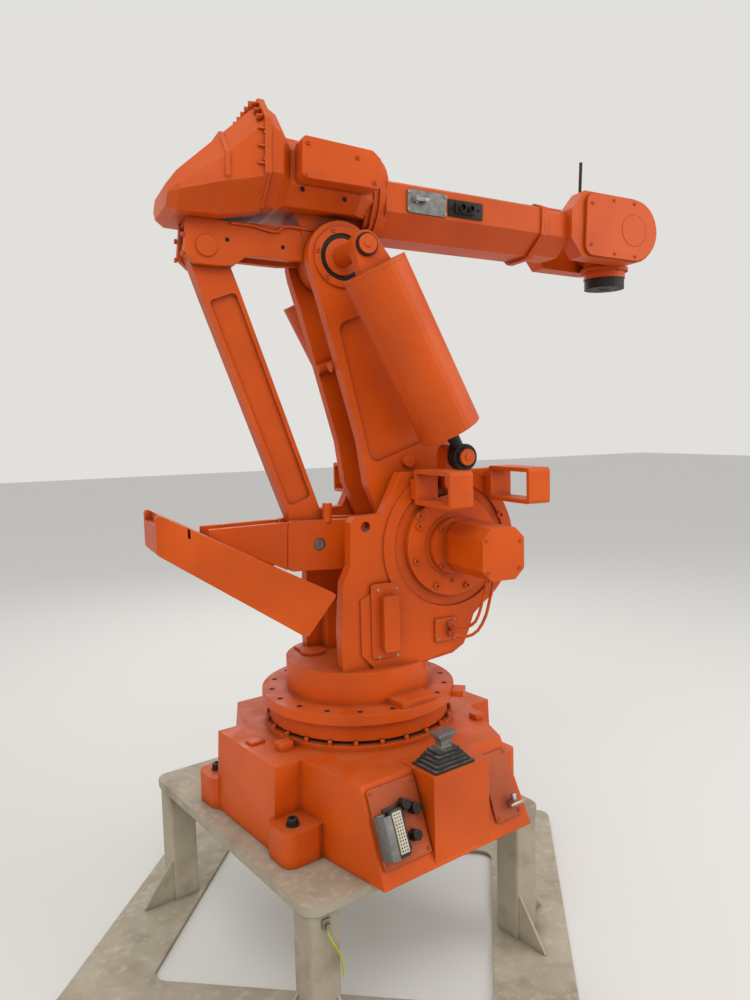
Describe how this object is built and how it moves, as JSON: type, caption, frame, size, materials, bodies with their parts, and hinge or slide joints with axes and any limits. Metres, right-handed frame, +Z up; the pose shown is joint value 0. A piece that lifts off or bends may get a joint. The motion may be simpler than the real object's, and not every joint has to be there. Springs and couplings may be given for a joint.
{
  "type": "industrial robot arm",
  "caption": "Heavy industrial robot arm with a parallelogram tie rod, swept counterweight and twin balancing springs, on a steel table stand with a floor frame.",
  "frame": {"origin": "middle of the underside of the whole model's box, at floor level", "axes": "+Z up, +X the way the arm points at rest; the stand and base are turned 12.2 degrees about Z under the arm"},
  "size_m": [2.4944, 2.2548, 2.8579],
  "materials": {
    "orange_paint": "semi-gloss orange paint",
    "stand_paint": "matt pale grey paint",
    "bare_steel": "ground steel",
    "dark_steel": "blackened steel",
    "grey_metal": "dull cast aluminium and zinc",
    "black_rubber": "dusty black rubber",
    "tinned_copper": "tinned copper",
    "earth_wire_sheath": "yellow-green wire sheath"
  },
  "bodies": {
    "base": {"base_casting": "orange_paint", "bearing_ring": "dark_steel", "connector_panel": "orange_paint", "earth_lug": "tinned_copper", "earth_wire": "earth_wire_sheath", "floor_frame": "stand_paint", "gaiter": "black_rubber", "gaiter_head": "grey_metal", "heavy_connector": "grey_metal", "service_panel": "orange_paint", "stand_leg_1": "stand_paint", "stand_leg_2": "stand_paint", "stand_leg_3": "stand_paint", "stand_leg_4": "stand_paint", "table_plate": "stand_paint"},
    "column": {"column_casting": "orange_paint", "fork_pocket_front_far": "orange_paint", "fork_pocket_front_near": "orange_paint", "fork_pocket_rear_far": "orange_paint", "fork_pocket_rear_near": "orange_paint", "gearbox_far": "orange_paint", "gearbox_near": "orange_paint", "gland_plate": "orange_paint", "motor_cable_1": "orange_paint", "motor_cable_2": "orange_paint", "motor_far": "orange_paint", "motor_near": "orange_paint", "side_box": "orange_paint", "spring_lug_far": "orange_paint", "spring_lug_near": "orange_paint", "swivel_cover": "orange_paint"},
    "lower_arm": {"elbow_pin": "bare_steel", "lower_arm": "orange_paint"},
    "upper_arm": {"gearbox_cover": "orange_paint", "motor_cover": "orange_paint", "upper_arm_housing": "orange_paint"},
    "forearm": {"access_plate": "grey_metal", "connector_plate": "dark_steel", "forearm_tube": "orange_paint", "wrist_cover_far": "orange_paint", "wrist_cover_near": "orange_paint", "wrist_housing": "orange_paint", "wrist_rod": "dark_steel"},
    "tilt": {"tilt_housing": "orange_paint"},
    "flange": {"tool_flange": "dark_steel"},
    "crank": {"counterweight": "orange_paint", "crank": "orange_paint", "crank_pin": "bare_steel"},
    "tie_rod": {"tie_rod": "orange_paint"},
    "spring_sleeve_near": {"spring_bracket_near": "orange_paint", "spring_sleeve_near": "orange_paint"},
    "spring_sleeve_far": {"spring_bracket_far": "orange_paint", "spring_sleeve_far": "orange_paint"},
    "spring_rod_near": {"spring_rod_near": "bare_steel"},
    "spring_rod_far": {"spring_rod_far": "bare_steel"}
  },
  "joints": [
    {"name": "axis_1", "type": "hinge", "parent": "base", "child": "column", "pos_m": [-0.0345, -0.01633, 0.889], "axis": [0, 0, 1], "range_deg": [-168, 192]},
    {"name": "axis_2", "type": "hinge", "parent": "column", "child": "lower_arm", "pos_m": [0.2465, -0.01633, 1.405], "axis": [0, 1, 0], "range_deg": [-18, 25]},
    {"name": "axis_3", "type": "hinge", "parent": "lower_arm", "child": "upper_arm", "pos_m": [-0.104, -0.01633, 2.39477], "axis": [0, 1, 0], "range_deg": [-12.4, 18]},
    {"name": "crank_follow", "type": "hinge", "parent": "lower_arm", "child": "crank", "pos_m": [0.2465, -0.01633, 1.405], "axis": [0, 1, 0], "range_deg": [-12.42, 18.02]},
    {"name": "tie_rod_follow", "type": "hinge", "parent": "crank", "child": "tie_rod", "pos_m": [-0.19611, -0.01633, 1.42355], "axis": [0, 1, 0], "range_deg": [-18.02, 12.42]},
    {"name": "axis_4", "type": "hinge", "parent": "upper_arm", "child": "forearm", "pos_m": [0.03061, -0.01633, 2.61433], "axis": [0.9991, 0, -0.0419], "range_deg": [-300, 300]},
    {"name": "axis_5", "type": "hinge", "parent": "forearm", "child": "tilt", "pos_m": [1.12435, -0.01633, 2.56849], "axis": [0, 1, 0], "range_deg": [-207, 32]},
    {"name": "axis_6", "type": "hinge", "parent": "tilt", "child": "flange", "pos_m": [1.12435, -0.01633, 2.36849], "axis": [0, 0, -1], "range_deg": [-300, 300]},
    {"name": "spring_top_follow_near", "type": "hinge", "parent": "lower_arm", "child": "spring_sleeve_near", "pos_m": [-0.104, -0.31633, 2.39477], "axis": [0, 1, 0], "range_deg": [-5.39, 7.47]},
    {"name": "spring_foot_follow_near", "type": "hinge", "parent": "column", "child": "spring_rod_near", "pos_m": [0.2465, -0.31633, 1.717], "axis": [0, 1, 0], "range_deg": [-23.39, 32.48]},
    {"name": "spring_top_follow_far", "type": "hinge", "parent": "lower_arm", "child": "spring_sleeve_far", "pos_m": [-0.104, 0.28367, 2.39477], "axis": [0, 1, 0], "range_deg": [-5.39, 7.47]},
    {"name": "spring_foot_follow_far", "type": "hinge", "parent": "column", "child": "spring_rod_far", "pos_m": [0.2465, 0.28367, 1.717], "axis": [0, 1, 0], "range_deg": [-23.39, 32.48]}
  ],
  "couplings": [
    {"joint": "crank_follow", "follows": "axis_3", "ratio": 1},
    {"joint": "tie_rod_follow", "follows": "axis_3", "ratio": -1},
    {"joint": "spring_top_follow_near", "follows": "axis_2", "ratio": 0.2982},
    {"joint": "spring_foot_follow_near", "follows": "axis_2", "ratio": 1.2982},
    {"joint": "spring_top_follow_far", "follows": "axis_2", "ratio": 0.2982},
    {"joint": "spring_foot_follow_far", "follows": "axis_2", "ratio": 1.2982}
  ]
}
